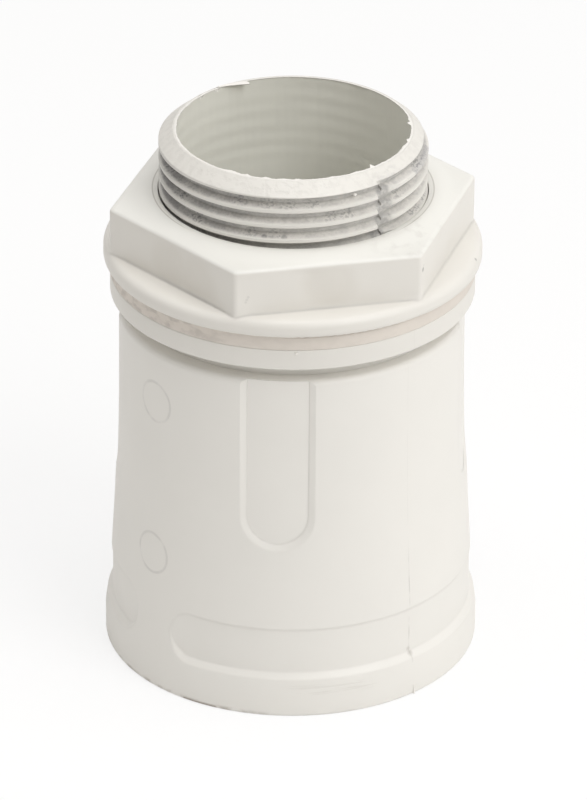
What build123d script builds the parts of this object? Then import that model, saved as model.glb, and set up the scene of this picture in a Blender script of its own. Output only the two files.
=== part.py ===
from build123d import *
from math import degrees, radians, tan
import os

os.makedirs("parts", exist_ok=True)

# Conduit connector with a bell-shaped barrel below and a threaded spigot above. Sizes are in
# millimetres. +Z runs along the conduit, z = 0 is the mouth that the connector stands on, and
# the front is -Y. Angles are counted from +X towards +Y.

# Outside diameter of the conduit, and nominal diameter of the thread
nominal_size = 25.0

# The mould's parting line down the front right, with another one opposite
parting_angle = -49.0

# Conduit socket inside the barrel, open at z = 0
socket_clearance = 0.15
stop_thickness = 5.3
mouth_chamfer = 0.7

# Groove near the mouth that holds the conduit seal
groove_low = 2.6
groove_height = 6.0
groove_depth = 2.45

# Spigot round the cable bore
spigot_wall = 1.58
spigot_length = 14.2
spigot_lead_in = 1.05
spigot_rim_width = 0.27

# Its M25 x 1.5 thread, moulded in two halves, of which the back one stands a step higher
thread_allowance = 0.05
thread_pitch = 1.5
thread_depth = 0.78
thread_root_flat = 0.32
thread_flank_rise = 0.45
thread_top_margin = 2.3
thread_foot_margin = 1.3
thread_half_arc = 181.0
thread_half_step = 0.27
thread_overcut = 0.15

# Relief of the crests at a parting line: angle from the line, and height over the crests
relief_outline = ((-3.0, 0.3), (-2.5, -0.35), (2.0, -0.35), (9.5, 0.02), (9.5, 0.3))
relief_top_margin = 0.7

# Barrel, which flares out in a bell towards its base ring
barrel_height = 36.25
barrel_wall = 3.63
base_ring_margin = 0.05
base_ring_height = 2.5
base_ring_round = 0.2
# The bell between its ends: share of its height, and share of its flare that is left there
bell_shape = ((0.19, 0.55), (0.43, 0.22))
bell_start_slope = 0.16

# Flange between the barrel and the spigot
body_flange_overhang = 0.72
body_flange_thickness = 2.05
body_flange_round = 0.15

# Neck groove between the barrel's rounded shoulder and the flange
neck_wall = 2.15
neck_height = 1.65
shoulder_round = 0.6

# U-shaped grip recesses, running up to the neck groove
grip_count = 4
grip_angle = -94.6
grip_half_width = 3.5
grip_low = 17.0
grip_depth = 0.32
grip_border_width = 0.62
grip_border_depth = 0.28

# Two long label recesses round the foot of the barrel, each across a parting line, with
# sloping walls and round ends
label_count = 2
label_gap_angle = 16.6
label_depth = 0.72
label_low = 4.4
label_height = 4.43
label_wall_slope = 50.0

# Flat gasket that lies on the flange
gasket_thickness = 1.5
gasket_clearance = 0.15
gasket_round = 0.3

# Flanged hexagon lock nut
nut_height = 6.1
nut_wall = 2.55
nut_corner_round = 0.5
nut_edge_round = 0.3
nut_angle = 12.4
nut_clearance = 0.08
nut_bore_chamfer_width = 0.5
nut_bore_chamfer_depth = 0.3
nut_flange_overhang = 0.6
nut_flange_thickness = 1.6
nut_flange_round = 0.8
nut_flange_low_round = 0.3

# Conduit seal, drawn as a conduit presses it open
seal_clearance = 0.05
seal_wall = 1.6
seal_lip_count = 3
seal_lip_width = 1.1

conduit_radius = nominal_size / 2
socket_radius = conduit_radius + socket_clearance
groove_radius = socket_radius + groove_depth
groove_high = groove_low + groove_height
spigot_radius = conduit_radius - thread_allowance
cable_bore_radius = spigot_radius - spigot_wall
barrel_top_radius = socket_radius + barrel_wall
neck_radius = socket_radius + neck_wall
shoulder_height = barrel_height - neck_height
body_flange_radius = barrel_top_radius + body_flange_overhang
nut_flange_radius = body_flange_radius + nut_flange_overhang
base_ring_radius = nut_flange_radius + base_ring_margin
label_floor_radius = base_ring_radius - label_depth
flange_face = barrel_height + body_flange_thickness
socket_depth = flange_face - stop_thickness
nut_face = flange_face + gasket_thickness
spigot_top = flange_face + spigot_length
thread_root_radius = spigot_radius - thread_depth
thread_run = spigot_length - thread_top_margin - thread_foot_margin
groove_count = 1 + int(thread_run / thread_pitch)
relief_height = spigot_length - relief_top_margin - thread_foot_margin
label_middle = label_low + label_height / 2
grip_floor_half_width = grip_half_width - grip_border_width
grip_turn = grip_low + grip_half_width


def bell_points(inset):
    """Points of the bell's outline from the base ring up, moved in by inset."""
    flare = base_ring_radius - barrel_top_radius
    rise = barrel_height - base_ring_height
    points = [(base_ring_radius - inset, base_ring_height)]
    for height_share, flare_share in bell_shape:
        radius = barrel_top_radius + flare * flare_share - inset
        points.append((radius, base_ring_height + rise * height_share))
    points.append((barrel_top_radius - inset, barrel_height))
    return points


def radial_plane(angle):
    """Upright plane through the axis, whose x direction runs outward at the angle."""
    outward = Vector(1, 0, 0).rotate(Axis.Z, angle)
    return Plane((0, 0, 0), x_dir=outward, z_dir=outward.rotate(Axis.Z, -90))


bell_tangents = ((-bell_start_slope, 1), (0, 1))

# One grip recess, centred on +X: a U-shaped plug, kept where it lies in the skin of the bell
with BuildPart() as grip_recess:
    with BuildSketch(Plane.YZ):
        with BuildLine():
            Polyline((-grip_floor_half_width, grip_turn), (-grip_floor_half_width, barrel_height),
                     (grip_floor_half_width, barrel_height), (grip_floor_half_width, grip_turn))
            ThreePointArc((grip_floor_half_width, grip_turn), (0, grip_low + grip_border_width),
                          (-grip_floor_half_width, grip_turn))
        make_face()
    extrude(amount=2 * base_ring_radius)
    with BuildSketch(Plane.XZ):
        with BuildLine():
            skin = bell_points(grip_depth)
            Spline(*skin, tangents=bell_tangents)
            Polyline(skin[-1], (2 * base_ring_radius, barrel_height),
                     (2 * base_ring_radius, base_ring_height), skin[0])
        make_face()
    revolve(axis=Axis.Z, mode=Mode.INTERSECT)

# One label recess, centred on +X: a band round the barrel that ends in a cone at each end
with BuildPart() as label_recess:
    label_reach = base_ring_radius - label_floor_radius + 1
    label_spread = label_reach * tan(radians(label_wall_slope))
    label_end = degrees(label_height / 2 / label_floor_radius)
    label_arc = 360 / label_count - label_gap_angle - 2 * label_end
    with BuildSketch(radial_plane(-label_arc / 2)):
        with BuildLine():
            Polyline((label_floor_radius, label_low),
                     (label_floor_radius, label_low + label_height),
                     (label_floor_radius + label_reach, label_low + label_height + label_spread),
                     (label_floor_radius + label_reach, label_low - label_spread), close=True)
        make_face()
    revolve(axis=Axis.Z, revolution_arc=label_arc)
    for side in (-1, 1):
        outward = radial_plane(side * label_arc / 2).x_dir
        end_point = outward * label_floor_radius + Vector(0, 0, label_middle)
        with Locations(Plane(end_point, z_dir=outward)):
            Cone(label_height / 2, label_height / 2 + label_spread, label_reach,
                 align=(Align.CENTER, Align.CENTER, Align.MIN))

# Half a turn of the thread's groove, which starts at +X and rises as it goes round
with BuildPart() as thread_groove:
    groove_reach = spigot_radius + thread_overcut
    flank_slope = thread_flank_rise / thread_depth
    half_root = thread_root_flat / 2
    half_mouth = half_root + flank_slope * (groove_reach - thread_root_radius)
    with BuildLine():
        Helix(thread_pitch, thread_pitch * thread_half_arc / 360, spigot_radius)
    with BuildSketch(Plane.XZ):
        with BuildLine():
            Polyline((thread_root_radius, -half_root), (groove_reach, -half_mouth),
                     (groove_reach, half_mouth), (thread_root_radius, half_root), close=True)
        make_face()
    sweep(is_frenet=True)

# Prism that takes the crests down where the halves of the thread meet, lying at +X
with BuildPart() as parting_relief:
    with BuildSketch(Plane.XY.offset(flange_face + thread_foot_margin)):
        with BuildLine():
            Polyline(*[Vector(spigot_radius + rise, 0).rotate(Axis.Z, angle)
                       for angle, rise in relief_outline], close=True)
        make_face()
    extrude(amount=relief_height)

# Where each half turn starts, counted down from the rim
groove_places = []
for turn in range(groove_count):
    front_height = spigot_top - thread_top_margin - turn * thread_pitch
    back_height = front_height + thread_pitch / 2 + thread_half_step
    start_angle = parting_angle + (180 - thread_half_arc) / 2
    groove_places.append(Location((0, 0, front_height), (0, 0, start_angle + 180)))
    groove_places.append(Location((0, 0, back_height), (0, 0, start_angle)))

# Connector body: barrel with socket and recesses, then flange and spigot, one moulding
with BuildPart() as connector_body:
    with BuildSketch(Plane.XZ):
        with BuildLine():
            Polyline((cable_bore_radius, barrel_height), (cable_bore_radius, socket_depth),
                     (socket_radius, socket_depth), (socket_radius, groove_high),
                     (groove_radius, groove_high), (groove_radius, groove_low),
                     (socket_radius, groove_low), (socket_radius, mouth_chamfer),
                     (socket_radius + mouth_chamfer, 0), (base_ring_radius, 0),
                     (base_ring_radius, base_ring_height))
            Spline(*bell_points(0), tangents=bell_tangents)
            Line((barrel_top_radius, barrel_height), (cable_bore_radius, barrel_height))
        make_face()
    revolve(axis=Axis.Z)
    with PolarLocations(0, grip_count, start_angle=grip_angle):
        add(grip_recess.part, mode=Mode.SUBTRACT)
    bell = connector_body.faces().filter_by(GeomType.REVOLUTION).sort_by(SortBy.AREA)[-1]
    grip_rims = bell.edges().filter_by(
        lambda edge: grip_low < edge.center().Z < barrel_height - grip_border_width)
    chamfer(grip_rims, length=grip_border_width, length2=grip_border_depth, reference=bell)
    with PolarLocations(0, label_count, start_angle=parting_angle):
        add(label_recess.part, mode=Mode.SUBTRACT)
    with BuildSketch(Plane.XZ):
        with BuildLine():
            Polyline((barrel_top_radius - shoulder_round, shoulder_height),
                     (neck_radius, shoulder_height), (neck_radius, barrel_height),
                     (base_ring_radius, barrel_height),
                     (base_ring_radius, shoulder_height - shoulder_round),
                     (barrel_top_radius, shoulder_height - shoulder_round))
            RadiusArc((barrel_top_radius, shoulder_height - shoulder_round),
                      (barrel_top_radius - shoulder_round, shoulder_height), -shoulder_round)
        make_face()
    revolve(axis=Axis.Z, mode=Mode.SUBTRACT)
    with BuildSketch(Plane.XZ):
        with BuildLine():
            Polyline((cable_bore_radius, barrel_height), (body_flange_radius, barrel_height),
                     (body_flange_radius, flange_face), (spigot_radius, flange_face),
                     (spigot_radius, spigot_top - spigot_lead_in),
                     (cable_bore_radius + spigot_rim_width, spigot_top),
                     (cable_bore_radius, spigot_top), close=True)
        make_face()
    revolve(axis=Axis.Z)
    round_edges = connector_body.edges().filter_by(GeomType.CIRCLE)
    flange_edges = round_edges.filter_by_position(Axis.Z, barrel_height, flange_face)
    fillet(flange_edges.group_by(SortBy.RADIUS)[-1], body_flange_round)
    mouth_edges = round_edges.filter_by_position(Axis.Z, 0, 0)
    fillet(mouth_edges.sort_by(SortBy.RADIUS)[-1], base_ring_round)
    with Locations(*groove_places):
        add(thread_groove.part, mode=Mode.SUBTRACT)
    with PolarLocations(0, 2, start_angle=parting_angle):
        add(parting_relief.part, mode=Mode.SUBTRACT)
connector_body.part.label = "connector_body"
export_step(connector_body.part, "parts/connector_body.step")

# Conduit seal: an elastomer ring in the groove, with lips round its inside
with BuildPart() as conduit_seal:
    seal_low = groove_low + seal_clearance
    seal_high = groove_high - seal_clearance
    seal_outer_radius = groove_radius - seal_clearance
    with BuildSketch(Plane.XZ):
        with BuildLine():
            Polyline((seal_outer_radius - seal_wall, seal_low), (seal_outer_radius, seal_low),
                     (seal_outer_radius, seal_high), (seal_outer_radius - seal_wall, seal_high),
                     close=True)
        make_face()
    revolve(axis=Axis.Z)
    lip_pitch = (seal_high - seal_low) / seal_lip_count
    for lip in range(seal_lip_count):
        lip_middle = seal_low + lip_pitch * (lip + 0.5)
        with BuildSketch(Plane.XZ):
            with BuildLine():
                Polyline((seal_outer_radius - seal_wall / 2, lip_middle - seal_lip_width / 2),
                         (seal_outer_radius - seal_wall / 2, lip_middle + seal_lip_width / 2),
                         (conduit_radius, lip_middle), close=True)
            make_face()
        revolve(axis=Axis.Z)
conduit_seal.part.label = "conduit_seal"
export_step(conduit_seal.part, "parts/conduit_seal.step")

# Flange gasket: a soft flat ring that slips over the spigot
with BuildPart() as flange_gasket:
    with BuildSketch(Plane.XY.offset(flange_face)):
        Circle(body_flange_radius)
        Circle(spigot_radius + gasket_clearance, mode=Mode.SUBTRACT)
    extrude(amount=gasket_thickness)
    fillet(flange_gasket.faces().sort_by(Axis.Z)[-1].edges(), gasket_round)
flange_gasket.part.label = "flange_gasket"
export_step(flange_gasket.part, "parts/flange_gasket.step")

# Lock nut: a hexagon on a round flange, with a smooth bore that slides along the spigot
with BuildPart() as lock_nut:
    with BuildSketch(Plane.XY.offset(nut_face)):
        Circle(nut_flange_radius)
    extrude(amount=nut_flange_thickness)
    fillet(lock_nut.edges().sort_by(Axis.Z)[-1], nut_flange_round)
    fillet(lock_nut.edges().sort_by(Axis.Z)[0], nut_flange_low_round)
    with BuildSketch(Plane.XY.offset(nut_face)) as hexagon:
        RegularPolygon(spigot_radius + nut_wall, 6, major_radius=False, rotation=nut_angle)
        fillet(hexagon.vertices(), nut_corner_round)
    extrude(amount=nut_height)
    fillet(lock_nut.faces().sort_by(Axis.Z)[-1].edges(), nut_edge_round)
    nut_bore_radius = spigot_radius + nut_clearance
    with BuildSketch(Plane.XZ):
        with BuildLine():
            Polyline((0, nut_face), (nut_bore_radius + nut_bore_chamfer_width, nut_face),
                     (nut_bore_radius, nut_face + nut_bore_chamfer_depth),
                     (nut_bore_radius, nut_face + nut_height - nut_bore_chamfer_depth),
                     (nut_bore_radius + nut_bore_chamfer_width, nut_face + nut_height),
                     (0, nut_face + nut_height), close=True)
        make_face()
    revolve(axis=Axis.Z, mode=Mode.SUBTRACT)
lock_nut.part.label = "lock_nut"
export_step(lock_nut.part, "parts/lock_nut.step")
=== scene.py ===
from collections import namedtuple
from math import atan2, cos, degrees, hypot, pi, radians, sin
from random import Random

import bpy
from mathutils import Matrix, Vector


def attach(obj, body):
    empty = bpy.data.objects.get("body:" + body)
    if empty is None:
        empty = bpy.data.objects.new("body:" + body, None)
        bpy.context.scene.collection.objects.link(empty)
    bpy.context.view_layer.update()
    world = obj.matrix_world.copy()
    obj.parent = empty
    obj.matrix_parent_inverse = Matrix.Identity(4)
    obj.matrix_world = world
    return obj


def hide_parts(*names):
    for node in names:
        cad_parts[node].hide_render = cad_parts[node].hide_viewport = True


# A conduit box connector. The frame holds its four solids. This script adds the nut's thread and
# the moulding flash, crowns the nut, chips the rim, and gives each piece its plastic or rubber.

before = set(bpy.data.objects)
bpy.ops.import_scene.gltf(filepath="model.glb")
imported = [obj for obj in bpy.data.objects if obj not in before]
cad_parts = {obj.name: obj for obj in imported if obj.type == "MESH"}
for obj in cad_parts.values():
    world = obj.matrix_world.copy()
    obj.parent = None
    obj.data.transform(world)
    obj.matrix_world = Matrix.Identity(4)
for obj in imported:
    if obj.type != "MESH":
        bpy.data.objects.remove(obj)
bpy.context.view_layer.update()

mm = 0.001

# Thread of the spigot and of the nut
pitch = 1.5 * mm
crest_radius = 12.45 * mm

# The spigot's rim: its edge round the bore, and the start of the lead-in cone
bore_radius = 10.87 * mm
rim_radius = 11.14 * mm
rim_height = 52.5 * mm
lead_in = 1.05 * mm

# Underside and top of the body's flange, and the outside of its base ring
flange_low = 36.25 * mm
flange_top = 38.3 * mm
base_ring_radius = 17.65 * mm

# The nut's top, and the edge of its bore there
nut_top = 45.9 * mm
nut_bore_edge = 13.03 * mm

# The mould's parting lines lie at this azimuth and opposite
parting_azimuth = 41

# Chips in the rim: their azimuths, and how far down they reach
chip_azimuths = {"rim_chip_left": -128, "rim_chip_flake": -139.3}
chip_reach = 0.5 * mm

# Bumps in the rim's flash: azimuth of the middle, half width in degrees, reach in millimetres
flash_bumps = ((-31, 5, 0.16), (-23, 2.5, 0.14), (-13, 2, 0.16), (-4, 4, 0.1), (2, 1.5, 0.15),
               (19, 4, 0.06), (32, 3, 0.07), (41.4, 0.9, 0.4), (68, 6, 0.1), (76.5, 2, 0.16),
               (94.8, 1.8, 0.4), (99, 4, 0.1), (-115, 3, 0.12), (-92, 4, 0.08), (145, 5, 0.1))
flash_thickness = 0.07 * mm

# Curled flake: azimuth of its root, and the arc that it spans to its tip
flake_root = -140
flake_arc = 15.5
flake_thickness = 0.1 * mm

# Slivers of flash at the foot of the parting lines
tag_height = 1.5 * mm
tag_thickness = 0.12 * mm

# How far the nut's top swells, how far out it does so, and how deep the skin is that moves
crown_rise = 0.52 * mm
crown_width = 2.3 * mm
crown_skin = 0.35 * mm

# Places of grime and wear on the body, and of painted shade at the parting corners and the foot, in
# millimetres
gathered_grime = ((-10.4, -6.3, 49.0), (-8.9, -8.2, 46.6), (-11.4, -4.1, 50.3), (11.5, -4.0, 51.2),
                  (12.0, -1.9, 45.7), (11.2, -4.7, 46.0))
sparse_grime = ((-5.0, -11.1, 50.6), (-2.4, -11.9, 50.5), (-0.4, -12.1, 50.2), (1.8, -12.0, 50.4),
                (5.0, -11.1, 49.2), (3.7, -11.6, 49.1), (-1.6, -12.0, 47.3), (-3.9, -11.5, 47.7),
                (9.6, -7.5, 49.2))
# Painted shade: the low corners of the grooves at the parting line
parting_corner_shade = ((8.15, -9.0, 50.5), (8.1, -9.05, 49.05), (8.5, -8.7, 48.95), (8.1, -9.05, 47.5),
                   (8.5, -8.7, 47.4), (7.75, -9.4, 46.4))
thread_specks = ((5.45, -10.9, 51.05), (5.2, -11.0, 51.15), (-2.6, -11.9, 47.3), (-0.8, -12.15, 47.3),
                 (9.45, -7.65, 49.15))
rubbed_crest = ((11.3, -4.8, 50.9), (11.8, -3.6, 51.0), (12.1, -2.3, 50.9), (12.3, -1.0, 51.3))
lip_smudges = ((8.1, -9.4, 51.6), (9.3, -7.8, 51.7))
# Painted contact shadow: a dark streak along the foot at the front left
contact_shadow_streak = ((-9.5, -14.85, 0.1), (-8.8, -15.3, 0.1), (-8.1, -15.7, 0.1), (-7.5, -16.0, 0.1))
scratched_base = ((1.5, -17.6, 2.8), (4.2, -17.1, 2.8), (6.6, -16.4, 2.9))
label_nick = ((11.25, -13.17, 4.6), (11.38, -13.12, 4.42))

# Round ejector marks: their azimuth and radius, and the height and distance from the axis of each
ejector_azimuth = -50.5
ejector_radius = 2.0 * mm
ejector_marks = ((13.6, 16.62), (29.4, 16.3))

# Places of wear on the nut, and of sink marks with painted shade, in millimetres
nut_scuffs = ((10.6, -9.0, 45.9),)
nut_specks = ((12.0, -12.3, 44.2), (12.2, -12.1, 44.5), (17.05, -4.2, 41.3))
nut_faint_specks = ((-4.25, -16.2, 42.8), (-4.15, -16.2, 43.05), (-4.0, -16.3, 43.3))
nut_sink_marks = ((-11.2, -10.0, 43.4), (-8.2, -12.4, 43.0), (3.2, -14.6, 43.8))


# Shaping

def at_azimuth(azimuth, radius, height):
    """Point at an azimuth counted from the front, -Y, towards +X."""
    turn = radians(azimuth)
    return Vector((radius * sin(turn), -radius * cos(turn), height))


def azimuth_of(place):
    return degrees(atan2(place.x, -place.y))


def only(piece):
    """Makes the piece the only selected object, and the active one."""
    bpy.ops.object.select_all(action="DESELECT")
    piece.select_set(True)
    bpy.context.view_layer.objects.active = piece


def added(name):
    """Names the primitive that was just added, and puts its place in its mesh."""
    piece = bpy.context.object
    piece.name = name
    bpy.ops.object.transform_apply(location=True, rotation=True, scale=True)
    return piece


def edit_all(piece):
    """Edit mode with the whole mesh selected."""
    only(piece)
    bpy.ops.object.mode_set(mode="EDIT")
    bpy.ops.mesh.select_all(action="SELECT")


def edit_vertices(piece, chosen):
    """Edit mode with only the vertices selected whose place passes the test."""
    bpy.ops.object.mode_set(mode="OBJECT")
    for part in (*piece.data.edges, *piece.data.polygons):
        part.select = False
    for vertex in piece.data.vertices:
        vertex.select = chosen(vertex.co)
    bpy.ops.object.mode_set(mode="EDIT")


def turn_outwards(piece):
    edit_all(piece)
    bpy.ops.mesh.normals_make_consistent(inside=False)
    bpy.ops.object.mode_set(mode="OBJECT")


def apply_modifiers(piece):
    only(piece)
    for modifier in list(piece.modifiers):
        bpy.ops.object.modifier_apply(modifier=modifier.name)


def smooth(piece, angle):
    only(piece)
    bpy.ops.object.shade_smooth_by_angle(angle=radians(angle))


def thicken(piece, thickness):
    wall = piece.modifiers.new("wall", "SOLIDIFY")
    wall.thickness = thickness
    wall.offset = 0
    apply_modifiers(piece)
    turn_outwards(piece)


def joined(name, pieces):
    """One piece made of several."""
    only(pieces[0])
    for piece in pieces[1:]:
        piece.select_set(True)
    bpy.ops.object.join()
    pieces[0].name = name
    return pieces[0]


def cad_copy(node, name):
    """A piece with its own mesh of a CAD node, its loose triangles sewn together."""
    piece = bpy.data.objects.new(name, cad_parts[node].data.copy())
    bpy.context.collection.objects.link(piece)
    only(piece)
    bpy.ops.mesh.customdata_custom_splitnormals_clear()
    edit_all(piece)
    bpy.ops.mesh.remove_doubles(threshold=1e-6)
    bpy.ops.object.mode_set(mode="OBJECT")
    return piece


def cut(piece, *cutters):
    """Takes the cutters out of the piece, and then deletes them."""
    for cutter in cutters:
        taken = piece.modifiers.new("cut", "BOOLEAN")
        taken.operation = "DIFFERENCE"
        taken.solver = "EXACT"
        taken.object = cutter
    apply_modifiers(piece)
    for cutter in cutters:
        bpy.data.objects.remove(cutter)


# Body: the chips in its rim, and the flash of its mould

def rim_chip(name, azimuth):
    """Small lump that breaks the rim's inner edge."""
    place = at_azimuth(azimuth, bore_radius, rim_height)
    bpy.ops.object.select_all(action="DESELECT")
    bpy.ops.mesh.primitive_ico_sphere_add(subdivisions=2, radius=0.42 * mm, location=place)
    lump = added(name)
    edit_all(lump)
    bpy.ops.transform.resize(value=(1.0, 0.7, 0.8), center_override=place)
    bpy.ops.object.mode_set(mode="OBJECT")
    return lump


def flash_reach(azimuth, chance):
    """How far, in millimetres, the flash on the rim stands in over the bore at an azimuth."""
    reach = 0.03 + 0.05 * chance.random() ** 2
    for middle, half_width, most in flash_bumps:
        closeness = max(0, 1 - abs(azimuth - middle) / half_width)
        reach += most * closeness ** 0.7 * chance.uniform(0.6, 1.2)
    return reach


def rim_flash():
    """Thin ragged skin round the rim's inner edge."""
    chance = Random(25)
    bpy.ops.object.select_all(action="DESELECT")
    bpy.ops.mesh.primitive_circle_add(vertices=540, radius=bore_radius + 0.12 * mm,
                                      location=(0, 0, rim_height - 0.033 * mm))
    ring = added("rim_flash")
    edit_all(ring)
    bpy.ops.mesh.extrude_edges_move()
    bpy.ops.transform.resize(value=(0.98, 0.98, 1), center_override=(0, 0, rim_height))
    bpy.ops.object.mode_set(mode="OBJECT")
    for vertex in ring.data.vertices:
        if hypot(*vertex.co.xy) < bore_radius:
            azimuth = azimuth_of(vertex.co)
            reach = flash_reach(azimuth, chance) * mm
            vertex.co = at_azimuth(azimuth, bore_radius - reach, rim_height - 0.03 * mm + 0.45 * reach)
    thicken(ring, flash_thickness)
    return ring


def curled_flake():
    """Shaving that hangs on the rim at the back, and leaves it towards its free tip."""
    chance = Random(7)
    bpy.ops.object.select_all(action="DESELECT")
    bpy.ops.mesh.primitive_grid_add(x_subdivisions=18, y_subdivisions=4, size=1)
    flake = added("curled_flake")
    for vertex in flake.data.vertices:
        along, across = vertex.co.x + 0.5, vertex.co.y + 0.5
        # Its two long edges, in millimetres from the axis
        inner = 10.95 - 1.05 * along + chance.uniform(-0.02, 0.02)
        width = (0.25 + 0.6 * along) * min(1, 12 * (1.05 - along))
        outer = min(11.0, inner + width)
        radius = (outer + (inner - outer) * across) * mm
        lift = (0.03 + 0.08 * sin(pi * across) + 0.04 * along) * mm
        vertex.co = at_azimuth(flake_root - flake_arc * along, radius, rim_height + lift)
    thicken(flake, flake_thickness)
    return flake


def crumb(name, place, size, seed):
    """Irregular grain of plastic."""
    chance = Random(seed)
    bpy.ops.object.select_all(action="DESELECT")
    bpy.ops.mesh.primitive_ico_sphere_add(subdivisions=2, radius=size)
    grain = added(name)
    for vertex in grain.data.vertices:
        vertex.co *= chance.uniform(0.75, 1.15)
        vertex.co.z *= 0.75
        vertex.co += place
    return grain


def parting_tag(name, azimuth):
    """Sliver of flash that stands out at the foot of a parting line."""
    bpy.ops.object.select_all(action="DESELECT")
    bpy.ops.mesh.primitive_grid_add(x_subdivisions=5, y_subdivisions=3, size=1)
    tag = added(name)
    for vertex in tag.data.vertices:
        up, out = vertex.co.x + 0.5, vertex.co.y + 0.5
        proud = (-0.15 + out * (0.3 - 0.22 * up)) * mm
        height = 0.06 * mm + tag_height * up
        vertex.co = at_azimuth(azimuth + 0.15 * up, base_ring_radius + proud, height)
    thicken(tag, tag_thickness)
    return tag


# A row of vertices round the spigot keeps the chips from upsetting the wall below them.
body = cad_copy("connector_body", "chipped_body")
edit_all(body)
bpy.ops.mesh.bisect(plane_co=(0, 0, rim_height - chip_reach), plane_no=(0, 0, 1))
bpy.ops.object.mode_set(mode="OBJECT")
cut(body, *[rim_chip(name, azimuth) for name, azimuth in chip_azimuths.items()])
smooth(body, 20)

flash = joined("moulding_flash", [
    rim_flash(), curled_flake(),
    parting_tag("parting_tag_front", parting_azimuth),
    parting_tag("parting_tag_back", parting_azimuth + 180),
    crumb("thread_crumb", Vector((5.6, -10.7, 51.0)) * mm, 0.17 * mm, 3),
    crumb("flange_crumb", at_azimuth(1.3, 17.0 * mm, 38.0 * mm), 0.16 * mm, 4)])
smooth(flash, 40)


# Nut: its crowned top, and its thread

def crowned_nut():
    """The nut with its top swelling up to the bore, where it ends in a narrow flat band."""
    nut = cad_copy("lock_nut", "crowned_nut")
    skin_low = nut_top - crown_skin
    edit_vertices(nut, lambda place: place.z > skin_low)
    bpy.ops.mesh.subdivide(number_cuts=4)
    around_bore = nut_bore_edge + 0.05 * mm
    edit_vertices(nut, lambda place: place.z > skin_low and hypot(*place.xy) < around_bore)
    bpy.ops.transform.translate(value=(0, 0, crown_rise), use_proportional_edit=True,
                                proportional_size=crown_width, proportional_edit_falloff="SMOOTH")
    at_bore = nut_bore_edge + 0.01 * mm
    edit_vertices(nut, lambda place: place.z > skin_low + crown_rise and hypot(*place.xy) < at_bore)
    bpy.ops.transform.resize(value=(1, 1, 0.2), center_override=(0, 0, nut_top + crown_rise))
    bpy.ops.object.mode_set(mode="OBJECT")
    return nut


def helical_ridge(name, radii, widths, azimuth, height, turns):
    """Closed helical bar of trapezoid section, as wide as widths at its two radii."""
    depth = radii[1] - radii[0]
    middle = radii[0] + depth / 2
    bpy.ops.object.select_all(action="DESELECT")
    bpy.ops.mesh.primitive_plane_add(size=1, rotation=(pi / 2, 0, 0))
    ridge = added(name)
    edit_all(ridge)
    bpy.ops.transform.resize(value=(depth, 1, widths[0]))
    bpy.ops.transform.translate(value=(middle, 0, 0))
    edit_vertices(ridge, lambda place: place.x > middle)
    bpy.ops.transform.resize(value=(1, 1, widths[1] / widths[0]))
    bpy.ops.mesh.select_all(action="SELECT")
    bpy.ops.transform.rotate(value=radians(90 - azimuth), orient_axis="Z", center_override=(0, 0, 0))
    bpy.ops.transform.translate(value=(0, 0, height))
    bpy.ops.object.mode_set(mode="OBJECT")
    screw = ridge.modifiers.new("sweep", "SCREW")
    screw.angle = 2 * pi
    screw.screw_offset = pitch
    screw.iterations = turns
    screw.steps = screw.render_steps = 120
    apply_modifiers(ridge)
    edit_all(ridge)
    bpy.ops.mesh.fill_holes(sides=4)
    bpy.ops.object.mode_set(mode="OBJECT")
    turn_outwards(ridge)
    return ridge


nut = crowned_nut()
smooth(nut, 25)

# The nut's ridge is narrower than the spigot's groove, and rides in the middle of it.
nut_thread = helical_ridge("nut_thread", radii=(11.85 * mm, 12.6 * mm), widths=(0.22 * mm, 0.92 * mm),
                           azimuth=parting_azimuth - 180, height=40.63 * mm, turns=3)
smooth(nut_thread, 28)


# Shader building

def node(tree, kind, inputs, **settings):
    """Adds a shader node. An input given as a socket is wired, and any other is set."""
    made = tree.nodes.new("ShaderNode" + kind)
    for setting, value in settings.items():
        setattr(made, setting, value)
    for key, value in inputs.items():
        if isinstance(value, bpy.types.NodeSocket):
            tree.links.new(value, made.inputs[key])
        else:
            made.inputs[key].default_value = value
    return made.outputs


def calc(tree, operation, *values):
    return node(tree, "Math", dict(enumerate(values)), operation=operation)[0]


def product(tree, first, *others):
    for other in others:
        first = calc(tree, "MULTIPLY", first, other)
    return first


def highest(tree, first, *others):
    for other in others:
        first = calc(tree, "MAXIMUM", first, other)
    return first


def fade(tree, value, start, end):
    """0 at start and 1 at end, with a soft passage."""
    return node(tree, "MapRange", {"Value": value, "From Min": start, "From Max": end},
                interpolation_type="SMOOTHSTEP")[0]


def tinted(tree, color, mask, share, tint):
    """The colour, with this share of the tint laid over it where the mask is 1."""
    strength = calc(tree, "MULTIPLY", mask, share)
    return node(tree, "Mix", {0: strength, 6: color, 7: (*tint, 1)}, data_type="RGBA")[2]


def noise(tree, position, scale, detail):
    return node(tree, "TexNoise", {"Vector": position, "Scale": scale, "Detail": detail})[0]


def object_position(tree):
    return node(tree, "TexCoord", {})["Object"]


Place = namedtuple("Place", "position x y z radius")


def place_on_piece(tree):
    """Object position, its x, y and z, and its distance from the axis."""
    position = object_position(tree)
    x, y, z = node(tree, "SeparateXYZ", {0: position})
    level = node(tree, "CombineXYZ", {0: x, 1: y})[0]
    radius = node(tree, "VectorMath", {0: level}, operation="LENGTH")["Value"]
    return Place(position, x, y, z, radius)


def distance_to(tree, here, centre):
    return node(tree, "VectorMath", {0: here.position, 1: centre}, operation="DISTANCE")["Value"]


def near_any(tree, here, places, radius):
    """1 close to any of the places, with a soft edge. Places and radius are in millimetres."""
    reach = radius * mm
    spots = [fade(tree, distance_to(tree, here, Vector(place) * mm), reach, 0.5 * reach) for place in places]
    return highest(tree, *spots)


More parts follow.
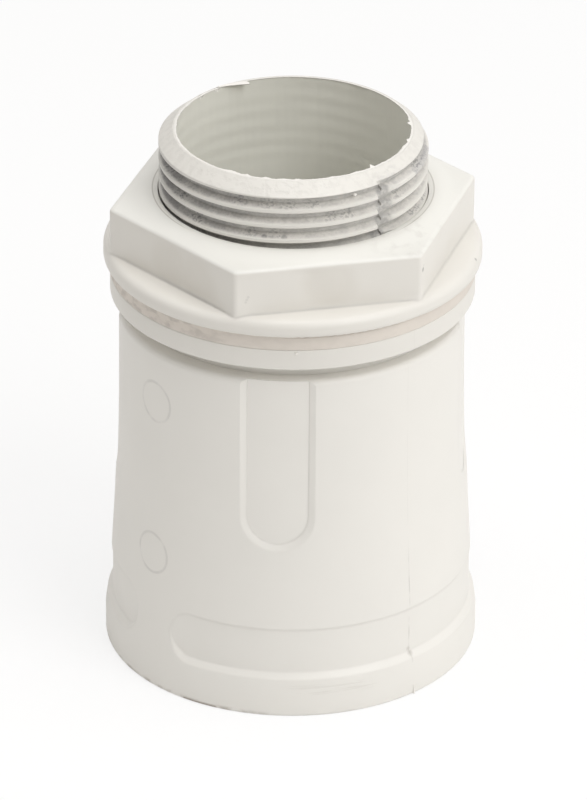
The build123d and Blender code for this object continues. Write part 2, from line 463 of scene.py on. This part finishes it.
def new_group(name, inputs, outputs):
    """Shader node group with its named sockets, and its two end nodes."""
    group = bpy.data.node_groups.new(name, "ShaderNodeTree")
    for label, kind, value in inputs:
        group.interface.new_socket(label, in_out="INPUT", socket_type=kind).default_value = value
    for label, kind in outputs:
        group.interface.new_socket(label, in_out="OUTPUT", socket_type=kind)
    return group, group.nodes.new("NodeGroupInput").outputs, group.nodes.new("NodeGroupOutput").inputs


def use_group(tree, group, inputs):
    return node(tree, "Group", inputs, node_tree=group)


def moulded_skin():
    """Faintly mottled colour, uneven gloss and fine grain of a moulded surface."""
    group, given, made = new_group(
        "moulded_skin",
        [("Color", "NodeSocketColor", (0.8, 0.8, 0.8, 1)), ("Mottle", "NodeSocketFloat", 0.04),
         ("Gloss Low", "NodeSocketFloat", 0.4), ("Gloss High", "NodeSocketFloat", 0.55),
         ("Grain Size", "NodeSocketFloat", 0.3 * mm)],
        [("Color", "NodeSocketColor"), ("Roughness", "NodeSocketFloat"), ("Height", "NodeSocketFloat")])
    position = object_position(group)
    broad = noise(group, position, 130, 3)
    shade = calc(group, "MULTIPLY_ADD", calc(group, "SUBTRACT", broad, 0.5), given["Mottle"], 1)
    color = node(group, "VectorMath", {0: given["Color"], "Scale": shade}, operation="SCALE")[0]
    gloss = node(group, "MapRange", {"Value": noise(group, position, 420, 4), "To Min": given["Gloss Low"],
                                     "To Max": given["Gloss High"]})[0]
    grain = noise(group, position, calc(group, "DIVIDE", 1, given["Grain Size"]), 2)
    group.links.new(color, made["Color"])
    group.links.new(gloss, made["Roughness"])
    group.links.new(grain, made["Height"])
    return group


def grime():
    """Uneven soft patches, and smaller dark flecks."""
    group, given, made = new_group(
        "grime",
        [("Patch Size", "NodeSocketFloat", 1.5 * mm), ("Flatness", "NodeSocketFloat", 1.0),
         ("Clean Below", "NodeSocketFloat", 0.45)],
        [("Patches", "NodeSocketFloat"), ("Flecks", "NodeSocketFloat")])
    position = object_position(group)
    squeeze = node(group, "CombineXYZ", {0: 1.0, 1: 1.0, 2: given["Flatness"]})[0]
    flat = node(group, "VectorMath", {0: position, 1: squeeze}, operation="MULTIPLY")[0]
    scale = calc(group, "DIVIDE", 1, given["Patch Size"])
    rough = noise(group, flat, scale, 5)
    patches = fade(group, rough, given["Clean Below"], calc(group, "ADD", given["Clean Below"], 0.22))
    fine = noise(group, flat, calc(group, "MULTIPLY", scale, 3.6), 4)
    flecks = fade(group, fine, calc(group, "ADD", given["Clean Below"], 0.08),
                  calc(group, "ADD", given["Clean Below"], 0.24))
    group.links.new(patches, made["Patches"])
    group.links.new(flecks, made["Flecks"])
    return group


def new_material(name):
    material = bpy.data.materials.new(name)
    material.use_nodes = True
    return material, material.node_tree, material.node_tree.nodes["Principled BSDF"].inputs


def set_surface(tree, shader, color, roughness, height, depth, edge_round=0.08 * mm):
    """Colour, gloss, rounded edges, and bump from a height whose full range stands this deep."""
    worn = node(tree, "Bevel", {"Radius": edge_round}, samples=6)[0]
    bump = node(tree, "Bump", {"Height": height, "Distance": depth, "Normal": worn})[0]
    tree.links.new(color, shader["Base Color"])
    tree.links.new(roughness, shader["Roughness"])
    tree.links.new(bump, shader["Normal"])


skin = moulded_skin()
dirt = grime()


# Grime and wear on the body

def thread_sides(tree, here, outside):
    """The spigot's side below its lead-in cone, and the flanks of its thread."""
    cone_slope = (crest_radius - rim_radius) / lead_in
    cone = calc(tree, "MULTIPLY_ADD", calc(tree, "SUBTRACT", rim_height, here.z), cone_slope, rim_radius)
    below_cone = fade(tree, calc(tree, "SUBTRACT", cone, here.radius), 0.03 * mm, 0.12 * mm)
    on_spigot = fade(tree, here.z, flange_top - 0.1 * mm, flange_top + 0.3 * mm)
    side = product(tree, below_cone, on_spigot, outside)
    # The flanks' mask grows from the crests down to the roots, so the grime laid with it is also painted
    # shade deep in the grooves
    below_crest = fade(tree, here.radius, crest_radius - 0.01 * mm, crest_radius - 0.36 * mm)
    return side, product(tree, side, below_crest)


def thread_film(tree, here, side, flanks, left, patches):
    """Grey film of grime on the flanks, most at the left, where it lies on the crests as well. It thickens
    towards the roots with the flanks' mask, which is painted shade.
    """
    far_left = fade(tree, here.x, -9.3 * mm, -11.5 * mm)
    far_right = product(tree, fade(tree, here.x, 11.2 * mm, 12.1 * mm),
                        fade(tree, here.z, 49.5 * mm, 50.5 * mm))
    film = calc(tree, "MULTIPLY_ADD", patches, 0.2, 0.1)
    for mask, share in ((left, 0.38), (far_right, 0.3), (far_left, 0.4)):
        film = calc(tree, "MULTIPLY_ADD", mask, share, film)
    return highest(tree, product(tree, film, flanks), product(tree, far_left, side, 0.26))


def rubbed_grime(tree, here, flecks):
    """Grime rubbed on to the first crest at the far right."""
    rubbed = product(tree, near_any(tree, here, rubbed_crest, 1.0),
                     fade(tree, here.radius, 11.85 * mm, 12.15 * mm))
    return product(tree, rubbed, calc(tree, "MULTIPLY_ADD", flecks, 0.4, 0.6))


def flecks_and_corner_shade(tree, here, flanks, left, flecks):
    """Flecks where grime has gathered on the flanks, and painted shade in the corners of the grooves at the
    parting line.
    """
    amount = calc(tree, "MULTIPLY_ADD", near_any(tree, here, sparse_grime, 1.1), 0.27, 0.1)
    amount = calc(tree, "MULTIPLY_ADD", near_any(tree, here, gathered_grime, 1.5), 0.4, amount)
    amount = calc(tree, "MULTIPLY_ADD", left, 0.12, amount)
    # Painted shade in the parting corners, with the dark specks of the thread
    corner_shade_and_specks = highest(tree, product(tree, near_any(tree, here, parting_corner_shade, 0.95), 0.75),
                      near_any(tree, here, thread_specks, 0.36))
    grain = fade(tree, noise(tree, here.position, 2600, 3), 0.35, 0.62)
    corner_shade_and_specks = product(tree, corner_shade_and_specks, calc(tree, "MULTIPLY_ADD", grain, 0.5, 0.5), 0.62)
    return product(tree, highest(tree, product(tree, amount, flecks), corner_shade_and_specks), flanks)


def chalky_lip(tree, here):
    """Uneven patches on the lead-in cone."""
    lip = product(tree, fade(tree, here.z, 51.2 * mm, 51.5 * mm),
                  fade(tree, here.radius, 11 * mm, 11.1 * mm))
    return product(tree, lip, fade(tree, noise(tree, here.position, 1400, 4), 0.42, 0.66))


def parting_seam(tree, here):
    """Broken line down the barrel at both parting azimuths, faint above the label recesses."""
    turn = radians(parting_azimuth)
    across = calc(tree, "MULTIPLY_ADD", here.x, cos(turn), calc(tree, "MULTIPLY", here.y, sin(turn)))
    line = fade(tree, calc(tree, "ABSOLUTE", across), 0.09 * mm, 0.03 * mm)
    barrel = product(tree, fade(tree, here.z, flange_top, flange_top - 0.1 * mm),
                     fade(tree, here.radius, 13 * mm, 16 * mm))
    plain = calc(tree, "MULTIPLY_ADD", fade(tree, here.z, 15.5 * mm, 13 * mm), 0.8, 0.2)
    broken = fade(tree, noise(tree, here.position, 420, 2), 0.4, 0.6)
    return product(tree, line, barrel, plain, broken)


def ejector_rings(tree, here):
    """Round marks that the mould's ejector pins left at the front left."""
    rings = []
    for height, surface in ejector_marks:
        distance = distance_to(tree, here, at_azimuth(ejector_azimuth, surface * mm, height * mm))
        off_ring = calc(tree, "ABSOLUTE", calc(tree, "SUBTRACT", distance, ejector_radius))
        rings.append(fade(tree, off_ring, 0.2 * mm, 0.05 * mm))
    return product(tree, highest(tree, *rings), fade(tree, noise(tree, here.position, 500, 3), 0.3, 0.6))


def foot_dirt_and_contact_shadow(tree, here):
    """Brownish dirt along the foot at the front left, with painted contact shadow there and one darker
    streak of painted contact shadow.
    """
    specks = product(tree, fade(tree, here.z, 0.55 * mm, 0.15 * mm), fade(tree, here.x, 1 * mm, -6 * mm),
                     fade(tree, here.y, 4 * mm, -2 * mm),
                     fade(tree, noise(tree, here.position, 700, 4), 0.35, 0.6))
    streak = product(tree, near_any(tree, here, contact_shadow_streak, 0.9), fade(tree, here.z, 0.4 * mm, 0.15 * mm))
    return highest(tree, specks, product(tree, streak, 1.5))


def base_scratches(tree, here):
    """Level strokes scratched into the front of the base ring."""
    off_middle = calc(tree, "ABSOLUTE", calc(tree, "SUBTRACT", here.z, 2.75 * mm))
    band = fade(tree, off_middle, 0.8 * mm, 0.2 * mm)
    drawn_out = node(tree, "VectorMath", {0: here.position, 1: (0.25, 0.25, 5)}, operation="MULTIPLY")[0]
    strokes = fade(tree, noise(tree, drawn_out, 900, 3), 0.52, 0.6)
    return product(tree, near_any(tree, here, scratched_base, 2.2), band, strokes)


def bore_ripple(tree, here, in_bore):
    """Ripples in the bore, which follow the thread outside."""
    turned = node(tree, "Math", {0: here.x, 1: calc(tree, "MULTIPLY", here.y, -1)}, operation="ARCTAN2")[0]
    phase = calc(tree, "SUBTRACT", calc(tree, "MULTIPLY", here.z, 2 * pi / pitch), turned)
    return product(tree, calc(tree, "SINE", phase), in_bore, fade(tree, here.z, 43 * mm, 45 * mm),
                   fade(tree, noise(tree, here.position, 90, 1), 0.3, 0.7))


# Materials

def body_plastic():
    material, tree, shader = new_material("body_plastic")
    here = place_on_piece(tree)
    base = use_group(tree, skin, {"Color": (0.80, 0.784, 0.745, 1), "Mottle": 0.05, "Gloss Low": 0.38,
                                  "Gloss High": 0.52, "Grain Size": 0.35 * mm})
    smears = use_group(tree, dirt, {"Patch Size": 1.0 * mm, "Flatness": 1.7, "Clean Below": 0.38})

    # The flange and the spigot are a shade greyer than the barrel
    upper = fade(tree, here.z, flange_low - 0.45 * mm, flange_low + 0.35 * mm)
    color = tinted(tree, base["Color"], upper, 0.6, (0.72, 0.70, 0.655))

    # Grime in the thread, and painted shade in its roots, deep in its grooves and at its parting corners
    outside = fade(tree, here.radius, 11.3 * mm, 11.45 * mm)
    left = fade(tree, here.x, -0.5 * mm, -9.5 * mm)
    side, flanks = thread_sides(tree, here, outside)
    film = thread_film(tree, here, side, flanks, left, smears["Patches"])
    flecks = flecks_and_corner_shade(tree, here, flanks, left, smears["Flecks"])
    # Painted shade: the thread's roots are darkened, where shade falls deep in the grooves
    painted_root_shade = product(tree, fade(tree, here.radius, 11.95 * mm, 11.7 * mm), flanks)
    color = tinted(tree, color, film, 1, (0.33, 0.32, 0.315))
    color = tinted(tree, color, rubbed_grime(tree, here, smears["Flecks"]), 0.72, (0.33, 0.32, 0.33))
    # Dark grime flecks, and painted shade at the parting corners
    color = tinted(tree, color, flecks, 1, (0.08, 0.08, 0.09))
    color = tinted(tree, color, painted_root_shade, 0.2, (0.15, 0.15, 0.15))

    # The lip is smudged over the parting line, and chalky all round
    smudge = product(tree, near_any(tree, here, lip_smudges, 1.3), outside, smears["Patches"])
    chalky = chalky_lip(tree, here)
    color = tinted(tree, color, smudge, 0.22, (0.3, 0.3, 0.3))
    color = tinted(tree, color, chalky, 0.13, (0.45, 0.43, 0.4))

    # Marks of the mould on the barrel
    seam = parting_seam(tree, here)
    rings = ejector_rings(tree, here)
    color = tinted(tree, color, seam, 0.35, (0.5, 0.48, 0.45))
    color = tinted(tree, color, rings, 0.3, (0.42, 0.41, 0.4))

    # Dirt, wear and painted contact shadow round the foot
    scratches = base_scratches(tree, here)
    nick = near_any(tree, here, label_nick, 0.52)
    color = tinted(tree, color, foot_dirt_and_contact_shadow(tree, here), 0.55, (0.3, 0.25, 0.21))
    color = tinted(tree, color, scratches, 0.14, (0.5, 0.47, 0.43))
    color = tinted(tree, color, nick, 0.6, (0.4, 0.36, 0.32))

    # Painted light: the upper bore is lighter and yellower, standing in for light bounced round inside it
    in_bore = fade(tree, here.radius, 11.0 * mm, 10.9 * mm)
    ripple = bore_ripple(tree, here, in_bore)
    upper_bore_bounce_light = product(tree, in_bore, fade(tree, here.z, 33 * mm, 35 * mm))
    color = tinted(tree, color, upper_bore_bounce_light, 1, (0.83, 0.825, 0.76))

    height = calc(tree, "MULTIPLY", base["Height"], 0.012)
    for mark, rise in ((seam, 0.12), (rings, -0.12), (ripple, 0.07), (scratches, -0.06), (nick, -0.6),
                       (chalky, -0.12)):
        height = calc(tree, "MULTIPLY_ADD", mark, rise, height)

    # The edges of the label recesses are softer than those higher up
    edge_round = node(tree, "MapRange", {"Value": here.z, "From Min": 20 * mm, "From Max": 30 * mm,
                                         "To Min": 0.4 * mm, "To Max": 0.09 * mm})[0]
    roughness = calc(tree, "MULTIPLY_ADD", film, 0.2, base["Roughness"])
    set_surface(tree, shader, color, roughness, height, 0.2 * mm, edge_round)
    return material


def nut_plastic():
    material, tree, shader = new_material("nut_plastic")
    here = place_on_piece(tree)
    base = use_group(tree, skin, {"Color": (0.755, 0.734, 0.69, 1), "Mottle": 0.05, "Gloss Low": 0.36,
                                  "Gloss High": 0.5, "Grain Size": 0.35 * mm})
    smears = use_group(tree, dirt, {"Patch Size": 1.2 * mm, "Flatness": 1.0, "Clean Below": 0.47})

    # Painted light: the top is lighter than the sides, with scuffs by the front right corner
    top = fade(tree, here.z, nut_top - 0.3 * mm, nut_top - 0.1 * mm)
    scuffs = product(tree, near_any(tree, here, nut_scuffs, 5.5), top, smears["Patches"])
    color = tinted(tree, base["Color"], top, 1, (0.818, 0.81, 0.77))
    color = tinted(tree, color, scuffs, 0.22, (0.5, 0.47, 0.44))

    # Dark specks, and a dark line round the bore's edge at both sides
    specks = highest(tree, product(tree, near_any(tree, here, nut_specks, 0.36), 0.7),
                     product(tree, near_any(tree, here, nut_faint_specks, 0.2), 0.14))
    off_edge = calc(tree, "ABSOLUTE", calc(tree, "SUBTRACT", here.radius, nut_bore_edge - 0.01 * mm))
    edge = product(tree, fade(tree, off_edge, 0.1 * mm, 0.02 * mm), top,
                   fade(tree, calc(tree, "ABSOLUTE", here.x), 9 * mm, 11 * mm))
    color = tinted(tree, color, specks, 1, (0.2, 0.19, 0.18))
    color = tinted(tree, color, edge, 0.45, (0.3, 0.27, 0.23))

    # Sink marks in the hexagon's faces, whose slightly browner, darker tint is painted shade in the dents
    faces = product(tree, fade(tree, here.z, 41.2 * mm, 42 * mm),
                    fade(tree, here.z, nut_top, nut_top - 0.9 * mm))
    marks = near_any(tree, here, nut_sink_marks, 3.2)
    uneven = fade(tree, noise(tree, here.position, 170, 1), 0.35, 0.7)
    sink = product(tree, calc(tree, "MULTIPLY_ADD", marks, 0.5, uneven), faces)
    color = tinted(tree, color, product(tree, marks, faces), 0.17, (0.6, 0.56, 0.49))
    height = calc(tree, "MULTIPLY_ADD", sink, -0.6, calc(tree, "MULTIPLY", base["Height"], 0.012))

    # The edges are sharp round the bore, and softer further out
    edge_round = node(tree, "MapRange", {"Value": here.radius, "From Min": 13.2 * mm, "From Max": 14 * mm,
                                         "To Min": 0.08 * mm, "To Max": 0.5 * mm})[0]
    set_surface(tree, shader, color, base["Roughness"], height, 0.2 * mm, edge_round)
    return material


def gasket_elastomer():
    """Elastomer with darker patches, more of them towards the left."""
    material, tree, shader = new_material("gasket_elastomer")
    here = place_on_piece(tree)
    base = use_group(tree, skin, {"Color": (0.70, 0.648, 0.59, 1), "Mottle": 0.1, "Gloss Low": 0.55,
                                  "Gloss High": 0.7, "Grain Size": 0.25 * mm})
    smears = use_group(tree, dirt, {"Patch Size": 1.3 * mm, "Flatness": 2.0, "Clean Below": 0.42})
    amount = calc(tree, "MULTIPLY_ADD", fade(tree, here.x, -2 * mm, -12 * mm), 0.3, 0.05)
    color = tinted(tree, base["Color"], smears["Patches"], amount, (0.3, 0.27, 0.25))
    set_surface(tree, shader, color, base["Roughness"], base["Height"], 0.01 * mm)
    return material


def clean_surface(name, values):
    """Material of the skin alone, with these values in it."""
    material, tree, shader = new_material(name)
    base = use_group(tree, skin, values)
    set_surface(tree, shader, base["Color"], base["Roughness"], base["Height"], 0.01 * mm)
    return material


def flash_plastic():
    return clean_surface("flash_plastic", {"Color": (0.86, 0.84, 0.8, 1), "Mottle": 0.08,
                                           "Gloss Low": 0.3, "Gloss High": 0.45, "Grain Size": 0.2 * mm})


def seal_elastomer():
    return clean_surface("seal_elastomer", {"Color": (0.70, 0.648, 0.59, 1), "Mottle": 0.06,
                                            "Gloss Low": 0.5, "Gloss High": 0.65, "Grain Size": 0.25 * mm})


def dress(piece, material):
    piece.data.materials.clear()
    piece.data.materials.append(material)


nut_finish = nut_plastic()
dress(body, body_plastic())
dress(flash, flash_plastic())
dress(nut_thread, nut_finish)
dress(nut, nut_finish)
dress(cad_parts["flange_gasket"], gasket_elastomer())
dress(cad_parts["conduit_seal"], seal_elastomer())

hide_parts("connector_body")
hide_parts("lock_nut")
for piece, part, finish in ((body, "connector", "body_plastic"), (flash, "connector", "body_plastic"),
                            (nut, "nut", "nut_plastic"), (nut_thread, "nut", "nut_plastic")):
    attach(piece, part)


# Floor, light and camera

def white_floor():
    """Floor that keeps the shadow, and shows white to the camera."""
    bpy.ops.object.select_all(action="DESELECT")
    bpy.ops.mesh.primitive_plane_add(size=4)
    floor = added("white_floor")
    material, tree, shader = new_material("white_floor")
    shader["Base Color"].default_value = (0.97, 0.97, 0.97, 1)
    shader["Roughness"].default_value = 0.9
    seen = node(tree, "LightPath", {})["Is Camera Ray"]
    glow = node(tree, "Emission", {"Color": (1, 1, 1, 1), "Strength": 1})[0]
    matte = tree.nodes["Principled BSDF"].outputs[0]
    white_share = calc(tree, "MULTIPLY", seen, 0.72)
    both = node(tree, "MixShader", {0: white_share, 1: matte, 2: glow})[0]
    tree.links.new(both, tree.nodes["Material Output"].inputs["Surface"])
    dress(floor, material)


def studio_world(strength):
    """Even warm light from all round, and plain white for the camera and for reflections."""
    world = bpy.data.worlds.new("studio")
    bpy.context.scene.world = world
    world.use_nodes = True
    tree = world.node_tree
    ambient = tree.nodes["Background"]
    ambient.inputs["Color"].default_value = (1, 0.96, 0.905, 1)
    ambient.inputs["Strength"].default_value = strength
    backdrop = node(tree, "Background", {"Color": (1, 1, 1, 1), "Strength": 1})[0]
    path = node(tree, "LightPath", {})
    seen = calc(tree, "MAXIMUM", path["Is Camera Ray"], path["Is Glossy Ray"])
    both = node(tree, "MixShader", {0: seen, 1: ambient.outputs[0], 2: backdrop})[0]
    tree.links.new(both, tree.nodes["World Output"].inputs["Surface"])


def softbox(name, azimuth, elevation, size, power, distance=0.7):
    """Square lamp that faces the connector's middle from a distance."""
    lamp = bpy.data.lights.new(name, "AREA")
    lamp.shape = "SQUARE"
    lamp.size = size
    lamp.energy = power
    box = bpy.data.objects.new(name, lamp)
    bpy.context.collection.objects.link(box)
    rise = radians(elevation)
    away = at_azimuth(azimuth, distance * cos(rise), distance * sin(rise))
    box.location = away + Vector((0, 0, 30 * mm))
    box.rotation_euler = away.to_track_quat("Z", "Y").to_euler()


white_floor()
studio_world(0.364)
softbox("overhead_softbox", 0, 89.9, 0.5, 1.955)
softbox("key_softbox", 45, 45, 0.4, 2.0)
softbox("side_softbox", 90, 15, 0.4, 0.7)
softbox("left_softbox", -90, 45, 0.4, 0.376)

lens = bpy.data.cameras.new("camera")
lens.lens = 295.91
lens.sensor_width = 36
lens.clip_start = 0.01
lens.clip_end = 20
camera = bpy.data.objects.new("camera", lens)
bpy.context.collection.objects.link(camera)
camera.location = (0.15 * mm, -544.49 * mm, 316.63 * mm)
tilt = Matrix.Rotation(radians(61.75), 4, "X")
roll = Matrix.Rotation(radians(0.36), 4, "Z")
camera.rotation_euler = (tilt @ roll).to_euler()
bpy.context.scene.camera = camera
bpy.context.scene.view_settings.view_transform = "Standard"
